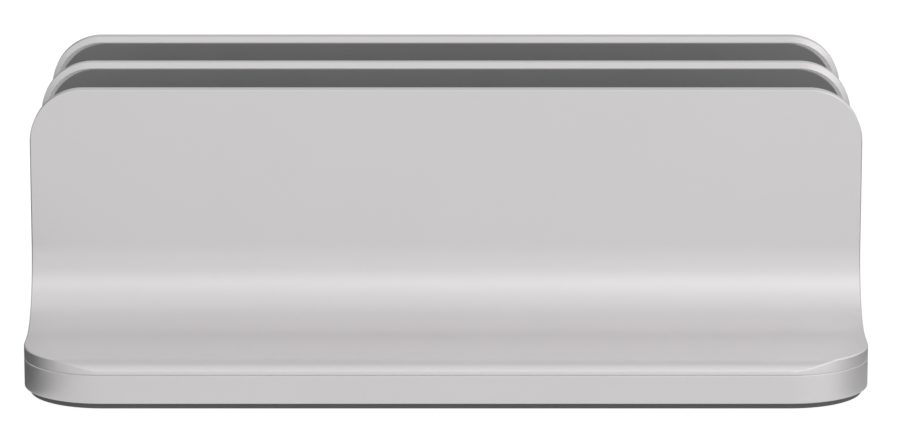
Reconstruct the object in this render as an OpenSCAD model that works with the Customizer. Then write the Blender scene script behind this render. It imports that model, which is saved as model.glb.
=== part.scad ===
// Vertical laptop stand with two slots.
//
// Three aluminium uprights of one height stand side by side: a wing in
// front, a plate in the middle and a wing behind. Each wing is one L-shaped
// extrusion, whose outer face sweeps through a concave fillet into a flat
// foot. The middle plate is screwed down on a slide plate. Both wings
// straddle that plate and are clamped to it from below, so that each slot
// can be set to the thickness of its laptop.
//
// Frame: +X along the uprights, +Z up, front wing towards -Y. The origin is
// on the table, under the middle of the stand. Millimetres.

/* [Stand] */
// Length of the uprights and the feet
stand_w = 190; // [170:1:220]
// Height of the three uprights
stand_h = 64; // [55:1:80]
// Thickness of each upright
plate_t = 4.5; // [4:0.1:6]
// Radius of the uprights' upper corners
corner_r = 12; // [8:0.5:18]
// Chamfer round each upright on its slot side
slot_chamfer = 1.2; // [0.8:0.1:1.3]

/* [Slots] */
// Slot between bare uprights, as the wings stand now
slot_gap = 28; // [26:0.5:30]
// How far a wing slides each way from there
slide_travel = 10; // [6:0.5:10]

/* [Foot] */
// How far the foot reaches out from the upright's outer face
foot_reach = 42.25; // [40:0.25:50]
// Radius of the foot's corners, seen from above
foot_corner_r = 18.5; // [12:0.5:22]
// Height of the foot's flat top above the table
foot_top = 10.8; // [10.4:0.1:12]
// Radius of the fillet between upright and foot
fillet_r = 17; // [10:0.5:20]
// Radius of the round along the foot's nose
nose_r = 4.5; // [4:0.1:6]
// Length of that round, from the flat top to the nose's wall
nose_len = 3.8; // [2.5:0.1:3.8]
// Height of the joint between wing and foot plate
seam_z = 7.9; // [7.4:0.1:7.9]
// Edge break on each side of that joint
seam_break = 0.15; // [0.1:0.05:0.4]

/* [Pads and soles] */
// Thickness of the silicone pads on the uprights
pad_t = 0.8; // [0.8:0.1:1.6]
// Bare margin beside a pad's ends
pad_side = 1.9; // [1.7:0.1:3]
// Bare margin above a pad
pad_top = 1.3; // [1.3:0.1:2]
// How much tighter a pad's upper corners are than the upright's
pad_corner_less = 0.6; // [0:0.1:1.8]
// Height of the rubber soles under the feet
sole_t = 1.4; // [1.2:0.1:1.6]
// How far a sole stays back from the foot's wall
sole_inset = 1.3; // [0.8:0.1:2]

/* [Slide plate] */
// Length of the slide plate along the uprights
slide_w = 156; // [140:1:160]
// Thickness of the slide plate
slide_t = 3.2; // [3:0.1:3.2]
// Distance of the clamp screws from the middle of the stand
clamp_x = 50; // [35:1:58]

/* [Hidden] */
$fn = 96;

aluminium = [0.78, 0.78, 0.79];
silicone = [0.37, 0.36, 0.37];
rubber = [0.22, 0.22, 0.23];
steel = [0.42, 0.42, 0.44];

// Cuts run this far past the faces that they open
past = 1;

// Distances from the middle of the stand to a wing's faces and its nose
wing_in = plate_t / 2 + slot_gap;
wing_out = wing_in + plate_t;
nose_y = wing_out + foot_reach;

// The slide plate hangs clear of the table and of the pocket's roof. The
// nose ahead of the pocket is solid, and a wing that is pushed fully in
// still stops short of the pocket's end.
slide_lift = 0.3;
slide_z = sole_t + slide_lift;
slide_top = slide_z + slide_t;
pocket_play = 0.2;
roof_play = 0.1;
pocket_roof = slide_top + roof_play;
pocket_corner = 4;
nose_solid = 8;
pocket_end = nose_y - nose_solid;
slide_stop = 2;
slide_end = pocket_end - slide_travel - slide_stop;

// Screws: M4 with a low head for the clamps, M3 countersunk elsewhere
clamp_r = 2;
clamp_head_r = 3.75;
clamp_head_h = 1.3;
clamp_lip = 1.6;
clamp_ahead = 7;
clamp_y = wing_out + clamp_ahead;
clamp_tip = 9.4;
clamp_hex = 2.5;
clamp_hex_deep = 0.9;
slot_r = clamp_r + 0.2;
recess_r = clamp_head_r + 0.45;
head_play = 0.05;
small_r = 1.5;
small_head_r = 2.8;
small_tip = 9.2;
small_hex = 2;
small_hex_deep = 0.8;
thread_play = 0.02;
tip_play = 0.2;

// The slot floor: root of the middle plate and the pads beside it
floor_pad_t = 1.8;
root_half = 4.5;
root_top = slide_top + floor_pad_t;
root_bite = 6.5;
root_tip = slide_top + root_bite;
floor_play = 0.2;
floor_pad_in = root_half + floor_play;
floor_pad_out = wing_in - slide_travel - pad_t - floor_play;
end_bare = 3;
floor_w = slide_w - 2 * end_bare;
pad_lift = 0.8;
pad_foot = seam_z + pad_lift;

// Where the small screws of the foot plate stand: in its cheeks and nose
cheek_x = (slide_w + stand_w) / 4;
nose_screw_y = pocket_end + 3.8;
foot_screw_at = [
  [-cheek_x, clamp_y],
  [cheek_x, clamp_y],
  [-clamp_x, nose_screw_y],
  [clamp_x, nose_screw_y]
];
center_screw_x = [-70, -25, 25, 70];

// A slab whose outline is straight at y = 0 and has two rounded corners at
// the far edge, y = h. It is t thick, upwards from z = 0.
module round_slab(w, h, r, t) {
  translate([-w / 2, 0, 0])
    cube([w, h - r, t]);
  translate([-w / 2 + r, 0, 0])
    cube([w - 2 * r, h, t]);
  for (side = [-1, 1])
    translate([side * (w / 2 - r), h - r, 0])
      cylinder(r = r, h = t);
}

// Section of a 45 degree edge cut: n points out of the outline, z into it
module edge_section(c) {
  polygon([[-c - past, -past], [past, -past], [past, c + past]]);
}

// What a chamfer c takes off a round_slab's edge at z = 0: along both ends,
// round the two corners and along the far edge.
module round_slab_chamfer(w, h, r, c) {
  for (side = [0, 1])
    mirror([side, 0, 0]) {
      translate([w / 2, -past, 0])
        rotate([90, 0, 180])
          mirror([1, 0, 0])
            linear_extrude(height = h - r + past)
              edge_section(c);
      translate([w / 2 - r, h - r, 0])
        rotate_extrude(angle = 90)
          translate([r, 0])
            edge_section(c);
    }
  translate([-(w / 2 - r), h, 0])
    rotate([90, 0, 90])
      linear_extrude(height = w - 2 * r)
        edge_section(c);
}

// Stands a slab up: its outline lies in X and Z, its face z = 0 at y = at,
// and its thickness runs towards -Y.
module upright(at) {
  translate([0, at, 0])
    rotate([90, 0, 0])
      children();
}

// Copies a part of the front half to the back
module to_rear() {
  mirror([0, 1, 0]) children();
}

// A rod along X through (y, z), longer than the stand
module rod_x(y, z, r) {
  translate([-stand_w, y, z])
    rotate([0, 90, 0])
      cylinder(r = r, h = 2 * stand_w, $fn = 160);
}

// A screw standing on its head at z = 0, with a countersunk head. grow makes
// the same shape larger, for the hole.
module small_screw(length, grow = 0) {
  head_h = small_head_r - small_r;
  cylinder(r1 = small_head_r + grow, r2 = small_r + grow, h = head_h, $fn = 48);
  cylinder(r = small_r + grow, h = length + grow, $fn = 48);
}

// Hexagon socket in a screw head at z = 0
module hex_socket(across, depth) {
  translate([0, 0, -past])
    cylinder(r = across / sqrt(3), h = depth + past, $fn = 6);
}

// The wings: uprights that sweep through a fillet into flat feet

// Space above the foot: over the flat top, and inside the fillet
module above_foot() {
  axis_y = wing_out + fillet_r;
  axis_z = foot_top + fillet_r;
  rod_x(-axis_y, axis_z, fillet_r);
  translate([-stand_w, -nose_y - past, foot_top])
    cube([2 * stand_w, nose_y + past - axis_y, stand_h]);
  translate([-stand_w, -nose_y - past, axis_z])
    cube([2 * stand_w, nose_y + past - wing_out, stand_h]);
}

// Space ahead of the nose's round, which leaves the flat top smoothly and
// meets the nose's wall at an edge
module nose_cut() {
  axis_y = nose_y - nose_len;
  axis_z = foot_top - nose_r;
  difference() {
    translate([-stand_w, -nose_y - past, axis_z])
      cube([2 * stand_w, nose_len + past, stand_h]);
    rod_x(-axis_y, axis_z, nose_r);
  }
}

// Blind holes up into the foot for both kinds of screw
module wing_holes() {
  for (side = [-1, 1])
    translate([side * clamp_x, -clamp_y, 0])
      cylinder(r = clamp_r + thread_play, h = clamp_tip + tip_play, $fn = 48);
  for (at = foot_screw_at)
    translate([at[0], -at[1], 0])
      cylinder(r = small_r + thread_play, h = small_tip + tip_play, $fn = 48);
}

module wing() {
  difference() {
    union() {
      difference() {
        upright(-wing_in)
          round_slab(stand_w, stand_h, corner_r, plate_t);
        upright(-wing_in)
          round_slab_chamfer(stand_w, stand_h, corner_r, slot_chamfer);
      }
      difference() {
        translate([0, -wing_out + plate_t / 2, seam_z])
          mirror([0, 1, 0])
            round_slab(stand_w, foot_reach + plate_t / 2, foot_corner_r,
              foot_top + fillet_r - seam_z);
        above_foot();
        nose_cut();
      }
    }
    translate([-stand_w, -stand_w, -past])
      cube([2 * stand_w, 2 * stand_w, seam_z + past]);
    translate([0, 0, seam_z])
      mirror([0, 1, 0])
        round_slab_chamfer(stand_w, nose_y, foot_corner_r, seam_break);
    wing_holes();
  }
}

module front_wing() {
  color(aluminium) wing();
}

module rear_wing() {
  color(aluminium) to_rear() wing();
}

// The foot plate: the lower half of the foot, with the slide's pocket

module foot_plate() {
  plate_h = seam_z - sole_t;
  difference() {
    translate([0, -wing_in, sole_t])
      mirror([0, 1, 0])
        round_slab(stand_w, nose_y - wing_in, foot_corner_r, plate_h);
    // edge breaks: at the joint with the wing, and round the underside
    translate([0, 0, seam_z])
      mirror([0, 1, 0])
        mirror([0, 0, 1])
          round_slab_chamfer(stand_w, nose_y, foot_corner_r, seam_break);
    translate([0, 0, sole_t])
      mirror([0, 1, 0])
        round_slab_chamfer(stand_w, nose_y, foot_corner_r, seam_break);
    // pocket for the slide plate, open inwards and below
    translate([0, -wing_in + past, sole_t - past])
      mirror([0, 1, 0])
        round_slab(slide_w + 2 * pocket_play, pocket_end - wing_in + past,
          pocket_corner, pocket_roof - sole_t + past);
    for (side = [-1, 1])
      translate([side * clamp_x, -clamp_y, 0])
        cylinder(r = clamp_r + thread_play, h = stand_h, $fn = 48);
    for (at = foot_screw_at)
      translate([at[0], -at[1], sole_t])
        small_screw(stand_h, thread_play);
  }
}

module front_foot_plate() {
  color(aluminium) foot_plate();
}

module rear_foot_plate() {
  color(aluminium) to_rear() foot_plate();
}

// Rubber under the nose and the two cheeks, clear of the slide's pocket
module sole() {
  gap = 1.2;
  difference() {
    translate([0, -wing_in - sole_inset, 0])
      mirror([0, 1, 0])
        round_slab(stand_w - 2 * sole_inset, nose_y - wing_in - 2 * sole_inset,
          foot_corner_r - sole_inset, sole_t);
    translate([0, -wing_in + past, -past])
      mirror([0, 1, 0])
        round_slab(slide_w + 2 * gap, pocket_end - wing_in + gap + past,
          pocket_corner, sole_t + 2 * past);
  }
}

module front_sole() {
  color(rubber) sole();
}

module rear_sole() {
  color(rubber) to_rear() sole();
}

// Strip under the slide plate, between the feet, wherever the wings stand
module center_sole() {
  strip_half = 14;
  corner = 4;
  color(rubber)
    for (side = [0, 1])
      mirror([0, side, 0])
        round_slab(floor_w, strip_half, corner, slide_z);
}

// The middle plate, on the slide plate that carries it

module center_plate() {
  root_w = slide_w + 2 * pocket_play;
  rise = stand_h - slide_z;
  color(aluminium)
    difference() {
      union() {
        translate([0, 0, slide_z])
          difference() {
            upright(plate_t / 2)
              round_slab(stand_w, rise, corner_r, plate_t);
            for (side = [0, 1])
              mirror([0, side, 0])
                upright(plate_t / 2)
                  round_slab_chamfer(stand_w, rise, corner_r, slot_chamfer);
          }
        // root bead, level with the floor pads
        translate([-stand_w / 2 + slot_chamfer, -root_half, slide_z])
          cube([stand_w - 2 * slot_chamfer, 2 * root_half, root_top - slide_z]);
      }
      // notch that drops over the slide plate
      translate([-root_w / 2, -root_half - past, 0])
        cube([root_w, 2 * (root_half + past), slide_top]);
      for (x = center_screw_x)
        translate([x, 0, 0])
          cylinder(r = small_r + thread_play, h = root_tip + tip_play, $fn = 48);
    }
}

// One clamp slot with a wider step below, in which the screw's head runs
module clamp_slot(y) {
  half = slide_travel;
  for (part = [[slot_r, stand_h], [recess_r, slide_t - clamp_lip]])
    translate([0, y, slide_z - past]) {
      translate([-part[0], -half, 0])
        cube([2 * part[0], 2 * half, part[1] + past]);
      for (end = [-1, 1])
        translate([0, end * half, 0])
          cylinder(r = part[0], h = part[1] + past, $fn = 64);
    }
}

module slide_plate() {
  corner = 6;
  color(aluminium)
    difference() {
      translate([0, 0, slide_z])
        for (side = [0, 1])
          mirror([0, side, 0])
            round_slab(slide_w, slide_end, corner, slide_t);
      for (side = [-1, 1])
        for (row = [-1, 1])
          translate([side * clamp_x, 0, 0])
            clamp_slot(row * clamp_y);
      for (x = center_screw_x)
        translate([x, 0, slide_z])
          small_screw(stand_h, thread_play);
    }
}

// A pad with its back on the face y = at, towards +Y when lift is 1
module wall_pad(at, lift) {
  translate([0, at, pad_foot])
    mirror([0, lift, 0])
      upright(0)
        round_slab(stand_w - 2 * pad_side, stand_h - pad_top - pad_foot,
          corner_r - pad_corner_less, pad_t);
}

module front_wing_pad() {
  color(silicone) wall_pad(-wing_in, 1);
}

module rear_wing_pad() {
  color(silicone) wall_pad(wing_in, 0);
}

module center_front_pad() {
  color(silicone) wall_pad(-plate_t / 2, 0);
}

module center_rear_pad() {
  color(silicone) wall_pad(plate_t / 2, 1);
}

// Pads on the slot floors, beside the middle plate's root
module floor_pad() {
  corner = 3;
  translate([0, floor_pad_in, slide_top])
    round_slab(floor_w, floor_pad_out - floor_pad_in, corner, floor_pad_t);
}

module front_floor_pad() {
  color(silicone) to_rear() floor_pad();
}

module rear_floor_pad() {
  color(silicone) floor_pad();
}

// Low-head clamp screws: the heads bear on the slots' steps from below
module clamp_screws() {
  head_top = slide_top - clamp_lip - head_play;
  for (side = [-1, 1])
    translate([side * clamp_x, -clamp_y, head_top - clamp_head_h])
      difference() {
        union() {
          cylinder(r = clamp_head_r, h = clamp_head_h, $fn = 64);
          cylinder(r = clamp_r, h = clamp_tip - head_top + clamp_head_h, $fn = 48);
        }
        hex_socket(clamp_hex, clamp_hex_deep);
      }
}

module front_clamp_screws() {
  color(steel) clamp_screws();
}

module rear_clamp_screws() {
  color(steel) to_rear() clamp_screws();
}

module foot_screws() {
  for (at = foot_screw_at)
    translate([at[0], -at[1], sole_t])
      difference() {
        small_screw(small_tip - sole_t);
        hex_socket(small_hex, small_hex_deep);
      }
}

module front_foot_screws() {
  color(steel) foot_screws();
}

module rear_foot_screws() {
  color(steel) to_rear() foot_screws();
}

// Countersunk screws up through the slide plate into the middle plate
module center_screws() {
  color(steel)
    for (x = center_screw_x)
      translate([x, 0, slide_z])
        difference() {
          small_screw(root_tip - slide_z);
          hex_socket(small_hex, small_hex_deep);
        }
}

front_wing();
rear_wing();
center_plate();
slide_plate();
front_foot_plate();
rear_foot_plate();
front_sole();
rear_sole();
center_sole();
front_wing_pad();
rear_wing_pad();
center_front_pad();
center_rear_pad();
front_floor_pad();
rear_floor_pad();
front_clamp_screws();
rear_clamp_screws();
front_foot_screws();
rear_foot_screws();
center_screws();
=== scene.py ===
# %% [markdown]
# # A vertical laptop stand
#
# The stand is three aluminium uprights of one height, with two slots between
# them. The outer two are wings: each is an L-shaped extrusion whose flat foot
# rests on the desk. Grey silicone pads line the slots. This lesson dresses a
# finished CAD model: the CAD says where everything is, and Blender gives it
# fine edge breaks, materials and light.

# %% Load the frame
import math

import bmesh
import bpy
from mathutils import Matrix, Vector


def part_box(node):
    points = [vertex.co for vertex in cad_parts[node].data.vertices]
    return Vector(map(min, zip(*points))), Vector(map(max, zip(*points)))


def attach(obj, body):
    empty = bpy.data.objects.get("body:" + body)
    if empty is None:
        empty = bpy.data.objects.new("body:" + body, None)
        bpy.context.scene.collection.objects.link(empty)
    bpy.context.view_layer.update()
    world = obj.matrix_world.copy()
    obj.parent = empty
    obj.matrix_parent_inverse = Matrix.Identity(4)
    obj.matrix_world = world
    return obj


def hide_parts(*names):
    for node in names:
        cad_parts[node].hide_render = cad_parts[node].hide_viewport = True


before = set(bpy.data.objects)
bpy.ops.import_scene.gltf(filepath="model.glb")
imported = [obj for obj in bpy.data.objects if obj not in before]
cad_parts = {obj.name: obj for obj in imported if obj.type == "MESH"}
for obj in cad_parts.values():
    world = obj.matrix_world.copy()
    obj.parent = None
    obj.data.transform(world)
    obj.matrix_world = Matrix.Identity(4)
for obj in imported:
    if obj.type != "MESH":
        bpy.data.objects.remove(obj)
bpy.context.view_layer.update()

# %% [markdown]
# ## The camera
#
# The photograph was taken square to the front with a long lens, from about
# 13 degrees above the desk. A long lens far away keeps the three uprights
# nearly the same size. The distance and the focal length were fitted
# together to the edges of the stand, because either of them alone can make
# it fill the picture. The small shift sets the stand a few pixels left of
# the middle, as in the photograph.

# %% Camera
MM = 0.001
LOOK_DOWN = math.radians(12.77)
LOOK_FROM = 1140.9 * MM
AIM_HEIGHT = 25.72 * MM

view = bpy.data.cameras.new("view")
view.lens = 193.1
view.sensor_width = 36.0
view.shift_x = 0.0044
view.clip_end = 20.0
camera = bpy.data.objects.new("view", view)
camera.location = (0, -LOOK_FROM * math.cos(LOOK_DOWN),
                   AIM_HEIGHT + LOOK_FROM * math.sin(LOOK_DOWN))
camera.rotation_euler = (math.pi / 2 - LOOK_DOWN, 0, 0)
bpy.context.collection.objects.link(camera)
bpy.context.scene.camera = camera
bpy.context.scene.view_settings.view_transform = "Standard"
print("camera", round(camera.location.y, 4), "m in front,", round(camera.location.z, 4), "m up")

# %% [markdown]
# ## Sizes
#
# Outer sizes are measured on the CAD model, in millimetres. The radii and
# chamfers below can't be read from a box, so they are written down once. A
# name that ends in STEPS says into how many flat strips a curve is cut.
# Modelling in millimetres keeps the numbers readable. Each mesh is scaled to
# metres once, when it becomes an object.

# %% Sizes in millimetres
def box_mm(node):
    """Lowest and highest corner of a CAD node, in millimetres."""
    low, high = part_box(node)
    return low / MM, high / MM


wing_low, wing_high = box_mm("front_wing")
LENGTH = wing_high.x - wing_low.x
HEIGHT = wing_high.z
SEAM = wing_low.z
NOSE = -wing_low.y
WING_IN = -wing_high.y
PLATE = 4.5
WING_OUT = WING_IN + PLATE
CORNER = 12.0
CHAMFER = 1.2
PAD_CORNER = 11.4
FOOT_CORNER = 18.5
FOOT_TOP = 10.8
FILLET = 17.0
NOSE_ROUND = 4.5
NOSE_REACH = 3.8
SEAM_BREAK = 0.2
EDGE_BREAK = 0.25
WALL_BREAK = 0.2
PAD_BREAK = 0.15
FLOOR_PAD_CORNER = 3.0
FLOOR_PAD_BREAK = 0.4

CORNER_STEPS = 24
FOOT_CORNER_STEPS = 32
FILLET_STEPS = 28
NOSE_STEPS = 9
PAD_CORNER_STEPS = 20
FLOOR_PAD_CORNER_STEPS = 8
PAD_BREAK_STEPS = 3
COPY_BREAK_STEPS = 2

# points closer than TOUCHING are one point; the other two lengths keep a test
# just off a plane, or well off it
TOUCHING = 0.001
JUST_OFF = 0.01
WELL_OFF = 0.5
print("stand", round(LENGTH, 2), "x", round(2 * NOSE, 2), "x", round(HEIGHT, 2), "mm")

# %% [markdown]
# ## From bmesh to object
#
# Every piece starts as a bmesh, which holds vertices, edges and faces while
# operators work on them. When a shape is done, it becomes an object at the
# origin with its place in its mesh. Large flat faces next to narrow bevels
# shade badly if normals are averaged evenly, so a Weighted Normal modifier
# lets the large faces win. An edge that turns by more than HARD_TURN stays
# hard, and one that turns by more than BREAK_TURN gets a break.

# %% Helpers for all pieces
BREAK_TURN = math.radians(28)
HARD_TURN = math.radians(40)


def prism(section, start, end):
    """A bar along X between start and end, with the section's (y, z) corners."""
    bm = bmesh.new()
    corners = [bm.verts.new((start, y, z)) for y, z in section]
    face = bm.faces.new(corners)
    pushed = bmesh.ops.extrude_face_region(bm, geom=[face])["geom"]
    moved = [item for item in pushed if isinstance(item, bmesh.types.BMVert)]
    bmesh.ops.translate(bm, verts=moved, vec=(end - start, 0, 0))
    bmesh.ops.recalc_face_normals(bm, faces=bm.faces)
    return bm


def soften(bm, edges, radius, segments, clamp=True):
    """Rounds the edges, or chamfers them when segments is 1."""
    bmesh.ops.bevel(bm, geom=edges, offset=radius, offset_type="OFFSET", affect="EDGES",
                    segments=segments, profile=0.5, material=-1, clamp_overlap=clamp)


def edges_where(bm, test):
    """The edges whose two ends both pass the test."""
    return [edge for edge in bm.edges if all(test(vert.co) for vert in edge.verts)]


def end_edges(bm, half, test):
    """The edges in the two end faces, x = -half and x = half, that pass the test."""
    left = edges_where(bm, lambda co: near(co.x, -half) and test(co))
    return left + edges_where(bm, lambda co: near(co.x, half) and test(co))


def sharp_edges(bm, turn=BREAK_TURN):
    """The edges at which the surface turns by more than that."""
    return [edge for edge in bm.edges if edge.is_manifold and edge.calc_face_angle() > turn]


def near(a, b, slack=TOUCHING):
    return abs(a - b) < slack


def finish_piece(bm, name, body, nodes):
    """Turns a bmesh in millimetres into a piece that stands for CAD nodes."""
    for face in bm.faces:
        face.smooth = True
    for edge in sharp_edges(bm, HARD_TURN):
        edge.smooth = False
    bmesh.ops.scale(bm, vec=(MM, MM, MM), verts=bm.verts)
    mesh = bpy.data.meshes.new(name)
    bm.to_mesh(mesh)
    bm.free()
    piece = bpy.data.objects.new(name, mesh)
    bpy.context.collection.objects.link(piece)
    weigh = piece.modifiers.new("Weighted Normal", "WEIGHTED_NORMAL")
    weigh.keep_sharp = True
    weigh.weight = 80
    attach(piece, body)
    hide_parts(*nodes)
    print(name, len(mesh.polygons), "faces")
    return piece


def half_turn(bm):
    """Turns a front shape round to the back."""
    bmesh.ops.rotate(bm, verts=bm.verts, cent=(0, 0, 0),
                     matrix=Matrix.Rotation(math.pi, 3, "Z"))


# %% [markdown]
# ## The wings
#
# A wing begins as a plain L-shaped bar, just as the real one leaves the
# extrusion press. One bevel in the inner corner gives the concave fillet.
# Bevels on the short end edges round the upright as seen from the front, and
# the foot as seen from above.
#
# The nose is round too, but its round must run straight through the corners,
# because on the real foot the corners were milled after the bar was pressed.
# A bevel would follow the corners instead. So the round is shaved off plane
# by plane, each touching the arc a little further down, as a carpenter would
# plane it by hand. At the corners the planes meet the milled wall, and the
# wall grows taller towards each end, as it does in the photograph.

# %% The nose's round
def shave(bm, point, outward):
    """Cuts away what lies beyond a plane in the nose, and closes the cut."""
    nose = [face for face in bm.faces if face.calc_center_median().z > SEAM + JUST_OFF
            and min(vert.co.y for vert in face.verts) < -NOSE + NOSE_REACH]
    edges = {edge for face in nose for edge in face.edges}
    verts = {vert for face in nose for vert in face.verts}
    cut = bmesh.ops.bisect_plane(bm, geom=[*verts, *edges, *nose], dist=1e-5,
                                 plane_co=point, plane_no=outward)["geom"]
    beyond = [item for item in cut if isinstance(item, bmesh.types.BMFace)
              and (item.calc_center_median() - point).dot(outward) > 1e-4]
    bmesh.ops.delete(bm, geom=beyond, context="FACES")
    bmesh.ops.contextual_create(bm, geom=[edge for edge in bm.edges if edge.is_boundary])


def round_nose(bm):
    axis = Vector((0, -NOSE + NOSE_REACH, FOOT_TOP - NOSE_ROUND))
    whole_turn = math.asin(NOSE_REACH / NOSE_ROUND)
    for step in range(NOSE_STEPS):
        turn = whole_turn * (step + 0.5) / NOSE_STEPS
        outward = Vector((0, -math.sin(turn), math.cos(turn)))
        shave(bm, axis + NOSE_ROUND * outward, outward)
    # the planes leave tiny edges at the corners, which would stop a later break
    tips = [vert for vert in bm.verts
            if vert.co.z > SEAM + WELL_OFF and vert.co.y < -NOSE + FOOT_CORNER]
    bmesh.ops.remove_doubles(bm, verts=tips, dist=EDGE_BREAK)
    bmesh.ops.recalc_face_normals(bm, faces=bm.faces)


# %% One wing
def wing_shape():
    bm = prism([(-WING_IN, SEAM), (-WING_IN, HEIGHT), (-WING_OUT, HEIGHT),
                (-WING_OUT, FOOT_TOP), (-NOSE, FOOT_TOP), (-NOSE, SEAM)],
               -LENGTH / 2, LENGTH / 2)
    inner = edges_where(bm, lambda co: near(co.y, -WING_OUT) and near(co.z, FOOT_TOP))
    soften(bm, inner, FILLET, FILLET_STEPS)
    top_ends = end_edges(bm, LENGTH / 2, lambda co: near(co.z, HEIGHT))
    soften(bm, top_ends, CORNER, CORNER_STEPS)
    foot_ends = end_edges(bm, LENGTH / 2, lambda co: near(co.y, -NOSE))
    soften(bm, foot_ends, FOOT_CORNER, FOOT_CORNER_STEPS)
    round_nose(bm)
    print("open edges after the nose:", len([edge for edge in bm.edges if edge.is_boundary]))

    # the wide chamfer that follows the slot side of the upright
    slot_side = edges_where(bm, lambda co: near(co.y, -WING_IN))
    slot_side = [edge for edge in slot_side if not all(near(v.co.z, SEAM) for v in edge.verts)]
    soften(bm, slot_side, CHAMFER, 1)

    # a break along the joint with the foot plate, then one round the outside,
    # which catches the light as a thin line
    joint = edges_where(bm, lambda co: near(co.z, SEAM) and co.y < -WING_IN - WELL_OFF)
    soften(bm, joint, SEAM_BREAK, 1)
    outside = [edge for edge in sharp_edges(bm)
               if min(v.co.z for v in edge.verts) > SEAM + 2 * SEAM_BREAK
               and min(v.co.y for v in edge.verts) < -WING_IN - CHAMFER - JUST_OFF]
    soften(bm, outside, EDGE_BREAK, 1, clamp=False)
    return bm


front_wing = finish_piece(wing_shape(), "front_wing_look", "front_wing_body",
                          ["front_wing"])
back = wing_shape()
half_turn(back)
rear_wing = finish_piece(back, "rear_wing_look", "rear_wing_body",
                         ["rear_wing"])

# %% [markdown]
# ## Plates, soles and screws
#
# These have pockets, slots and screw holes that the CAD already cuts exactly.
# Modelling them again would only risk a mistake. So a copy of the CAD mesh is
# taken, its loose triangles are joined, flat areas become single faces, and
# every sharp edge gets a small break. The CAD's own mesh isn't touched. The
# foot plates get a wider break round the bottom of their wall, where the
# photograph shows the metal darken just above the sole.

# %% Pieces that start from their CAD mesh
FLAT_TURN = math.radians(0.4)
ROUND_SLACK = 0.02


def on_foot_wall(co):
    """Whether a point lies on the outline of the feet as seen from above."""
    past = Vector((max(abs(co.x) - (LENGTH / 2 - FOOT_CORNER), 0),
                   max(abs(co.y) - (NOSE - FOOT_CORNER), 0)))
    return near(past.length, FOOT_CORNER, ROUND_SLACK)


def from_node(node, edge_break):
    """A merged copy of a CAD node's mesh with its sharp edges broken."""
    bm = bmesh.new()
    bm.from_mesh(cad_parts[node].data)
    bmesh.ops.scale(bm, vec=(1 / MM, 1 / MM, 1 / MM), verts=bm.verts)
    bmesh.ops.remove_doubles(bm, verts=bm.verts, dist=TOUCHING)
    bmesh.ops.dissolve_limit(bm, angle_limit=FLAT_TURN, verts=bm.verts, edges=bm.edges)
    if node.endswith("foot_plate"):
        bottom = box_mm(node)[0].z
        rim = edges_where(bm, lambda co: near(co.z, bottom) and on_foot_wall(co))
        soften(bm, rim, WALL_BREAK, 1)
    soften(bm, sharp_edges(bm), edge_break, COPY_BREAK_STEPS)
    return bm


copies = {
    "front_foot_plate": ("front_wing_body", "aluminium", 0.05),
    "rear_foot_plate": ("rear_wing_body", "aluminium", 0.05),
    "center_plate": ("base", "aluminium", 0.12),
    "slide_plate": ("base", "aluminium", 0.15),
    "front_sole": ("front_wing_body", "sole_rubber", 0.2),
    "rear_sole": ("rear_wing_body", "sole_rubber", 0.2),
    "center_sole": ("base", "sole_rubber", 0.3),
    "front_clamp_screws": ("front_wing_body", "screw_steel", 0.12),
    "rear_clamp_screws": ("rear_wing_body", "screw_steel", 0.12),
    "front_foot_screws": ("front_wing_body", "screw_steel", 0.05),
    "rear_foot_screws": ("rear_wing_body", "screw_steel", 0.05),
    "center_screws": ("base", "screw_steel", 0.05),
}
copied = {}
for node, (body, material_slot, edge_break) in copies.items():
    copied[node] = finish_piece(from_node(node, edge_break), node + "_look", body,
                                [node])

# %% [markdown]
# ## The silicone pads
#
# Each slot face carries a flat pad with the upright's own outline, a little
# smaller. A moulded silicone pad has a soft front edge and a crisp back edge
# where it is glued on. So only the edges on the free face are rounded.

# %% Pads on the uprights and on the slot floors
def box_section(low, high):
    """A box's outline seen along X, for prism."""
    return [(low.y, low.z), (high.y, low.z), (high.y, high.z), (low.y, high.z)]


def wall_pad(node, facing):
    """A pad on an upright. Its free face looks towards +Y when facing is 1."""
    low, high = box_mm(node)
    bm = prism(box_section(low, high), low.x, high.x)
    top_ends = end_edges(bm, high.x, lambda co: near(co.z, high.z))
    soften(bm, top_ends, PAD_CORNER, PAD_CORNER_STEPS)
    free_face = high.y if facing == 1 else low.y
    soften(bm, edges_where(bm, lambda co: near(co.y, free_face)), PAD_BREAK, PAD_BREAK_STEPS)
    return bm


def floor_pad(node):
    """A pad on a slot's floor, with round corners as seen from above."""
    low, high = box_mm(node)
    bm = prism(box_section(low, high), low.x, high.x)
    for y in (low.y, high.y):
        corners = end_edges(bm, high.x, lambda co: near(co.y, y))
        soften(bm, corners, FLOOR_PAD_CORNER, FLOOR_PAD_CORNER_STEPS)
    rim = edges_where(bm, lambda co: near(co.z, high.z))
    soften(bm, rim, FLOOR_PAD_BREAK, PAD_BREAK_STEPS)
    return bm


wall_pads = {
    "front_wing_pad": ("front_wing_body", 1),
    "rear_wing_pad": ("rear_wing_body", -1),
    "center_front_pad": ("base", -1),
    "center_rear_pad": ("base", 1),
}
pads = []
for node, (body, facing) in wall_pads.items():
    pads.append(finish_piece(wall_pad(node, facing), node + "_look", body, [node]))
for node in ("front_floor_pad", "rear_floor_pad"):
    pads.append(finish_piece(floor_pad(node), node + "_look", "base", [node]))

# %% [markdown]
# ## Shader maths as expressions
#
# A material is a graph of nodes, and wiring many Math nodes by hand is hard
# to read. The class below wraps one output socket. Adding or multiplying two
# of them adds the Math node, so that a formula can be written as a formula.
# All other nodes come from its node method.

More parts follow.
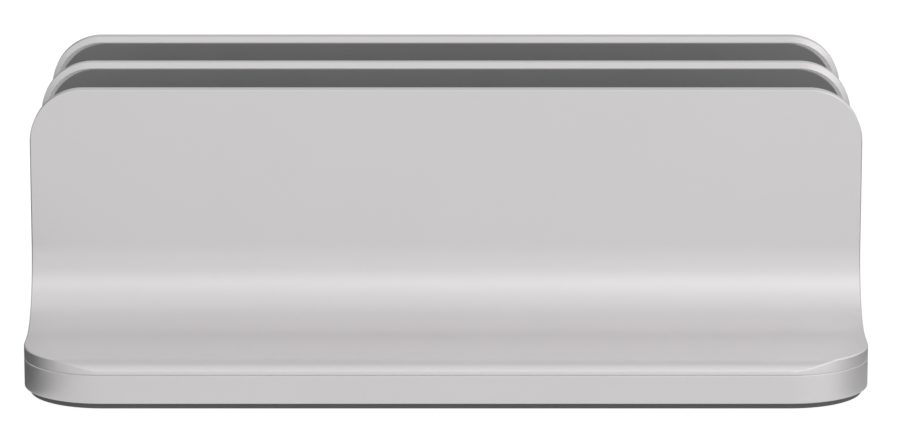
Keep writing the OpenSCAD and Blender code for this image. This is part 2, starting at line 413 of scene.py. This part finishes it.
# %% A socket that does arithmetic
class Wire:
    """One output socket of a node tree."""

    def __init__(self, tree, socket):
        self.tree = tree
        self.socket = socket

    def node(self, kind, settings=None, inputs=None, output=0):
        made = self.tree.nodes.new(kind)
        for name, value in (settings or {}).items():
            setattr(made, name, value)
        for name, value in (inputs or {}).items():
            if isinstance(value, Wire):
                self.tree.links.new(value.socket, made.inputs[name])
            else:
                made.inputs[name].default_value = value
        return Wire(self.tree, made.outputs[output])

    def math(self, operation, first, second):
        return self.node("ShaderNodeMath", {"operation": operation}, {0: first, 1: second})

    def __add__(self, other):
        return self.math("ADD", self, other)

    def __radd__(self, other):
        return self.math("ADD", other, self)

    def __mul__(self, other):
        return self.math("MULTIPLY", self, other)

    def __rmul__(self, other):
        return self.math("MULTIPLY", other, self)

    def mixed(self, low, high):
        """Goes from colour low to colour high as this value goes from 0 to 1."""
        return self.node("ShaderNodeMix", {"data_type": "RGBA"}, {0: self, 6: low, 7: high}, 2)

    def noise(self, size_mm, detail=2.0, roughness=0.5):
        """Soft noise from 0 to 1 with grains of about that size."""
        return self.node("ShaderNodeTexNoise", None,
                         {"Vector": self, "Scale": 1000 / size_mm, "Detail": detail,
                          "Roughness": roughness}, "Fac")


def new_finish(name):
    """A new material, its shader and its object coordinates."""
    material = bpy.data.materials.new(name)
    material.use_nodes = True
    tree = material.node_tree
    shader = tree.nodes["Principled BSDF"]
    place = tree.nodes.new("ShaderNodeTexCoord")
    print("finish", name)
    return material, shader, Wire(tree, place.outputs["Object"])


def feed(shader, name, wire):
    wire.tree.links.new(wire.socket, shader.inputs[name])


def bumped(height, distance_mm):
    """A Bump node's normal for a height from 0 to 1 of that depth."""
    return height.node("ShaderNodeBump", None,
                       {"Height": height, "Strength": 1.0, "Distance": distance_mm * MM},
                       "Normal")


# %% [markdown]
# ## Bead-blasted aluminium
#
# The real surface is blasted with fine glass beads and then anodised clear.
# Blasting leaves tiny round dents, finer than the eye resolves, which widen
# the reflection until the metal looks almost like satin paper. The dents are
# a bump with grains of about a sixth of a millimetre, and the rest of the
# spread is roughness. A slow noise shifts tone and gloss by a few percent, as
# a hand-held blasting nozzle does.

# %% Aluminium
aluminium, shader, place = new_finish("blasted_aluminium")
shader.inputs["Metallic"].default_value = 1.0
dents = place.noise(0.16, detail=3.0, roughness=0.65)
clouds = place.noise(38.0, detail=2.0)
feed(shader, "Base Color", clouds.mixed((0.840, 0.824, 0.833, 1), (0.864, 0.849, 0.858, 1)))
feed(shader, "Roughness", 0.38 + 0.05 * clouds + 0.05 * dents)
feed(shader, "Normal", bumped(dents, 0.018))

# %% [markdown]
# ## Silicone and rubber
#
# Silicone pads are matt, with a fine leather-like grain from the mould, and
# they look slightly paler where skin and cases have rubbed them. The soles
# are a firmer rubber with a coarser grain. Neither is metallic, and both get
# their look from colour and roughness more than from gloss.

# %% Silicone and sole rubber
silicone, shader, place = new_finish("slot_silicone")
grain = place.noise(0.35, detail=4.0, roughness=0.6)
rubbed = place.noise(14.0, detail=3.0)
feed(shader, "Base Color", rubbed.mixed((0.265, 0.262, 0.265, 1), (0.300, 0.297, 0.300, 1)))
feed(shader, "Roughness", 0.62 + 0.12 * grain)
feed(shader, "Normal", bumped(grain, 0.03))

sole_rubber, shader, place = new_finish("sole_rubber")
grain = place.noise(0.6, detail=3.0, roughness=0.6)
feed(shader, "Base Color", grain.mixed((0.205, 0.200, 0.206, 1), (0.245, 0.240, 0.246, 1)))
feed(shader, "Roughness", 0.7 + 0.15 * grain)
feed(shader, "Normal", bumped(grain, 0.05))

# %% [markdown]
# ## Screw steel
#
# The screws are turned on a lathe, which leaves a fine texture on the heads.
# They are hidden under the stand, and a fine noise is enough to break up the
# reflection.

# %% Steel
steel, shader, place = new_finish("screw_steel")
shader.inputs["Metallic"].default_value = 1.0
turned = place.noise(0.25, detail=2.0)
feed(shader, "Base Color", turned.mixed((0.36, 0.36, 0.38, 1), (0.45, 0.45, 0.47, 1)))
feed(shader, "Roughness", 0.28 + 0.12 * turned)
feed(shader, "Normal", bumped(turned, 0.008))

# %% Give each piece its finish
finish_of = {"aluminium": aluminium, "sole_rubber": sole_rubber, "screw_steel": steel}
for piece in (front_wing, rear_wing):
    piece.data.materials.append(aluminium)
for node, piece in copied.items():
    piece.data.materials.append(finish_of[copies[node][1]])
for piece in pads:
    piece.data.materials.append(silicone)

# %% [markdown]
# ## The set
#
# The photograph is cut out on pure white. The floor glows for the camera, so
# that it is white without extra light on the stand. It also glows for what
# mirrors it: an upright metal face seen from above mirrors nothing but the
# floor in front of it. A part of the floor's white is real light, which
# leaves a faint shadow under the feet.

# %% Floor
def ray_kinds(tree):
    """1 for what the camera sees, and 1 for what a surface mirrors or lets through."""
    path = tree.nodes.new("ShaderNodeLightPath")
    seen, glossy, through = (Wire(tree, path.outputs[name]) for name in
                             ("Is Camera Ray", "Is Glossy Ray", "Is Transmission Ray"))
    return seen, glossy + through


def paper(name, tone):
    """Plain matt paper or cloth, and its shader."""
    material = bpy.data.materials.new(name)
    material.use_nodes = True
    shader = material.node_tree.nodes["Principled BSDF"]
    shader.inputs["Base Color"].default_value = (tone, tone, tone, 1)
    shader.inputs["Roughness"].default_value = 0.9
    return material, shader


def stage_piece(bm, name, material):
    """Turns a bmesh in metres into a piece of the set."""
    mesh = bpy.data.meshes.new(name)
    bm.to_mesh(mesh)
    bm.free()
    mesh.materials.append(material)
    piece = bpy.data.objects.new(name, mesh)
    bpy.context.collection.objects.link(piece)
    return piece


# the floor lies a hair below the soles, so that no two faces share a plane
FLOOR_HALF = 6.0
FLOOR_DROP = 0.05
FLOOR_TONE = 0.3
FLOOR_SEEN = 0.88
FLOOR_MIRRORED = 0.46
BLACK = (0, 0, 0, 1)
WHITE = (1, 1, 1, 1)
bm = bmesh.new()
bmesh.ops.create_grid(bm, x_segments=1, y_segments=1, size=FLOOR_HALF)
bmesh.ops.translate(bm, verts=bm.verts, vec=(0, 0, -FLOOR_DROP * MM))
material, shader = paper("white_paper", FLOOR_TONE)
seen, mirrored = ray_kinds(material.node_tree)
glow = FLOOR_SEEN * seen + FLOOR_MIRRORED * mirrored
feed(shader, "Emission Color", glow.mixed(BLACK, WHITE))
shader.inputs["Emission Strength"].default_value = 1.0
stage_piece(bm, "floor", material)

# %% [markdown]
# ## Light
#
# Bead-blasted metal is a blurred mirror, so its light and dark are mostly a
# picture of the room. An even world gives about half of the light. Three long
# softboxes stand in a row from low in front of the stand to almost above it:
# the fillet and the rounded nose are tilted just enough to mirror them, and
# each shows a pale band. A large weak one lights the stand from the front
# right. It is so large because a smaller, brighter one clips the foot's end
# to white when seen from behind. One on the right draws the thin bright line
# along the rim of the foot's right corner, and a weak one on the left lifts
# the left corner a little.

# %% World and softboxes
ROOM_LIGHT = 0.50
ROOM_SEEN = 0.50
ROOM_MIRRORED = 0.05
LAMPS_FROM = 2.6

world = bpy.data.worlds.new("studio")
bpy.context.scene.world = world
world.use_nodes = True
tree = world.node_tree
seen, mirrored = ray_kinds(tree)
room = ROOM_LIGHT + ROOM_SEEN * seen + ROOM_MIRRORED * mirrored
feed(tree.nodes["Background"], "Color", room.mixed(BLACK, WHITE))


def softbox(name, turn, lift, width, height, radiance):
    """A lamp that faces the stand, turn degrees right of the front and lift degrees up."""
    turn, lift = math.radians(turn), math.radians(lift)
    away = Vector((math.sin(turn) * math.cos(lift),
                   -math.cos(turn) * math.cos(lift), math.sin(lift)))
    lamp = bpy.data.lights.new(name, "AREA")
    lamp.shape = "RECTANGLE"
    lamp.size = width
    lamp.size_y = height
    lamp.energy = radiance * math.pi * width * height
    holder = bpy.data.objects.new(name, lamp)
    holder.location = LAMPS_FROM * away
    holder.rotation_euler = (-away).to_track_quat("-Z", "Y").to_euler()
    holder.visible_camera = False
    bpy.context.collection.objects.link(holder)


softbox("low_front", 0, 8, 3.0, 0.8, 0.25)
softbox("high_front", 0, 44, 3.0, 0.8, 0.52)
softbox("overhead", 0, 78, 3.0, 0.9, 0.28)
softbox("front_right", 52, 32, 2.9, 3.1, 0.52)
softbox("right", 124, 43, 2.0, 1.4, 0.50)
softbox("left", -88, 42, 1.6, 1.2, 0.22)

# %% [markdown]
# ## Two dark cloths
#
# A pale object on white needs dark edges. A photographer lays black cloth
# beside it, out of the picture: the metal mirrors the cloth where its
# surface turns away, and a thin dark line follows the outline. Here a black
# one lies on the left and a grey one on the right. Each runs along the desk
# and ends in a low upturned edge. Towards the front both turn paler, so that
# the wall round the foot's corner darkens gently. A black screen far behind
# on the left does the same for the round corners of the uprights. Only what
# mirrors a cloth sees it, so that the cloths take no light from the pads and
# the floor.

# %% Cloths
CLOTH_BACK = 700.0
CLOTH_REACH = 300.0
CLOTH_FADE = 40.0
CLOTH_GAP = 0.5
CLOTH_LIFT = 0.2
CLOTH_HEIGHT = 30.0
SCREEN_LEFT = 250.0
SCREEN_WIDTH = 1200.0
SCREEN_HEIGHT = 300.0
SCREEN_BEHIND = 100.0
SCREEN_LIFT = 0.5
SCREEN_TONE = 0.05


def only_mirrored(piece):
    """Leaves a piece of the set visible to reflections alone."""
    piece.visible_camera = False
    piece.visible_diffuse = False
    piece.visible_shadow = False


def cloth(name, side, front, tone, front_tone):
    """An L-shaped sheet beside the stand, on the left when side is -1. Millimetres."""
    near_stand = side * (LENGTH / 2 + CLOTH_GAP)
    far = side * CLOTH_REACH
    outline = [(near_stand, CLOTH_LIFT), (far, CLOTH_LIFT), (far, CLOTH_HEIGHT)]
    bm = bmesh.new()
    corners = [bm.verts.new((x, front, z)) for x, z in outline]
    edges = [bm.edges.new(pair) for pair in zip(corners, corners[1:])]
    pushed = bmesh.ops.extrude_edge_only(bm, edges=edges)["geom"]
    moved = [item for item in pushed if isinstance(item, bmesh.types.BMVert)]
    bmesh.ops.translate(bm, verts=moved, vec=(0, CLOTH_BACK - front, 0))
    bmesh.ops.scale(bm, vec=(MM, MM, MM), verts=bm.verts)

    material, shader = paper(name, tone)
    coordinates = material.node_tree.nodes.new("ShaderNodeTexCoord")
    place = Wire(material.node_tree, coordinates.outputs["Object"])
    depth = place.node("ShaderNodeSeparateXYZ", None, {"Vector": place}, "Y")
    faded = depth.node("ShaderNodeMapRange", None,
                       {"Value": depth, "From Min": front * MM,
                        "From Max": (front + CLOTH_FADE) * MM})
    pale, dark = (front_tone,) * 3 + (1,), (tone,) * 3 + (1,)
    feed(shader, "Base Color", faded.mixed(pale, dark))
    only_mirrored(stage_piece(bm, name, material))


cloth("black_cloth", side=-1, front=-94, tone=0.07, front_tone=0.80)
cloth("grey_cloth", side=1, front=-78, tone=0.40, front_tone=0.75)

bm = bmesh.new()
bmesh.ops.create_grid(bm, x_segments=1, y_segments=1, size=0.5)
bmesh.ops.scale(bm, vec=(SCREEN_WIDTH * MM, SCREEN_HEIGHT * MM, 1), verts=bm.verts)
bmesh.ops.rotate(bm, verts=bm.verts, cent=(0, 0, 0),
                 matrix=Matrix.Rotation(math.pi / 2, 3, "X"))
middle = Vector((-SCREEN_LEFT - SCREEN_WIDTH / 2, CLOTH_BACK + SCREEN_BEHIND,
                 SCREEN_HEIGHT / 2 + SCREEN_LIFT))
bmesh.ops.translate(bm, verts=bm.verts, vec=middle * MM)
only_mirrored(stage_piece(bm, "black_screen", paper("black_screen", SCREEN_TONE)[0]))
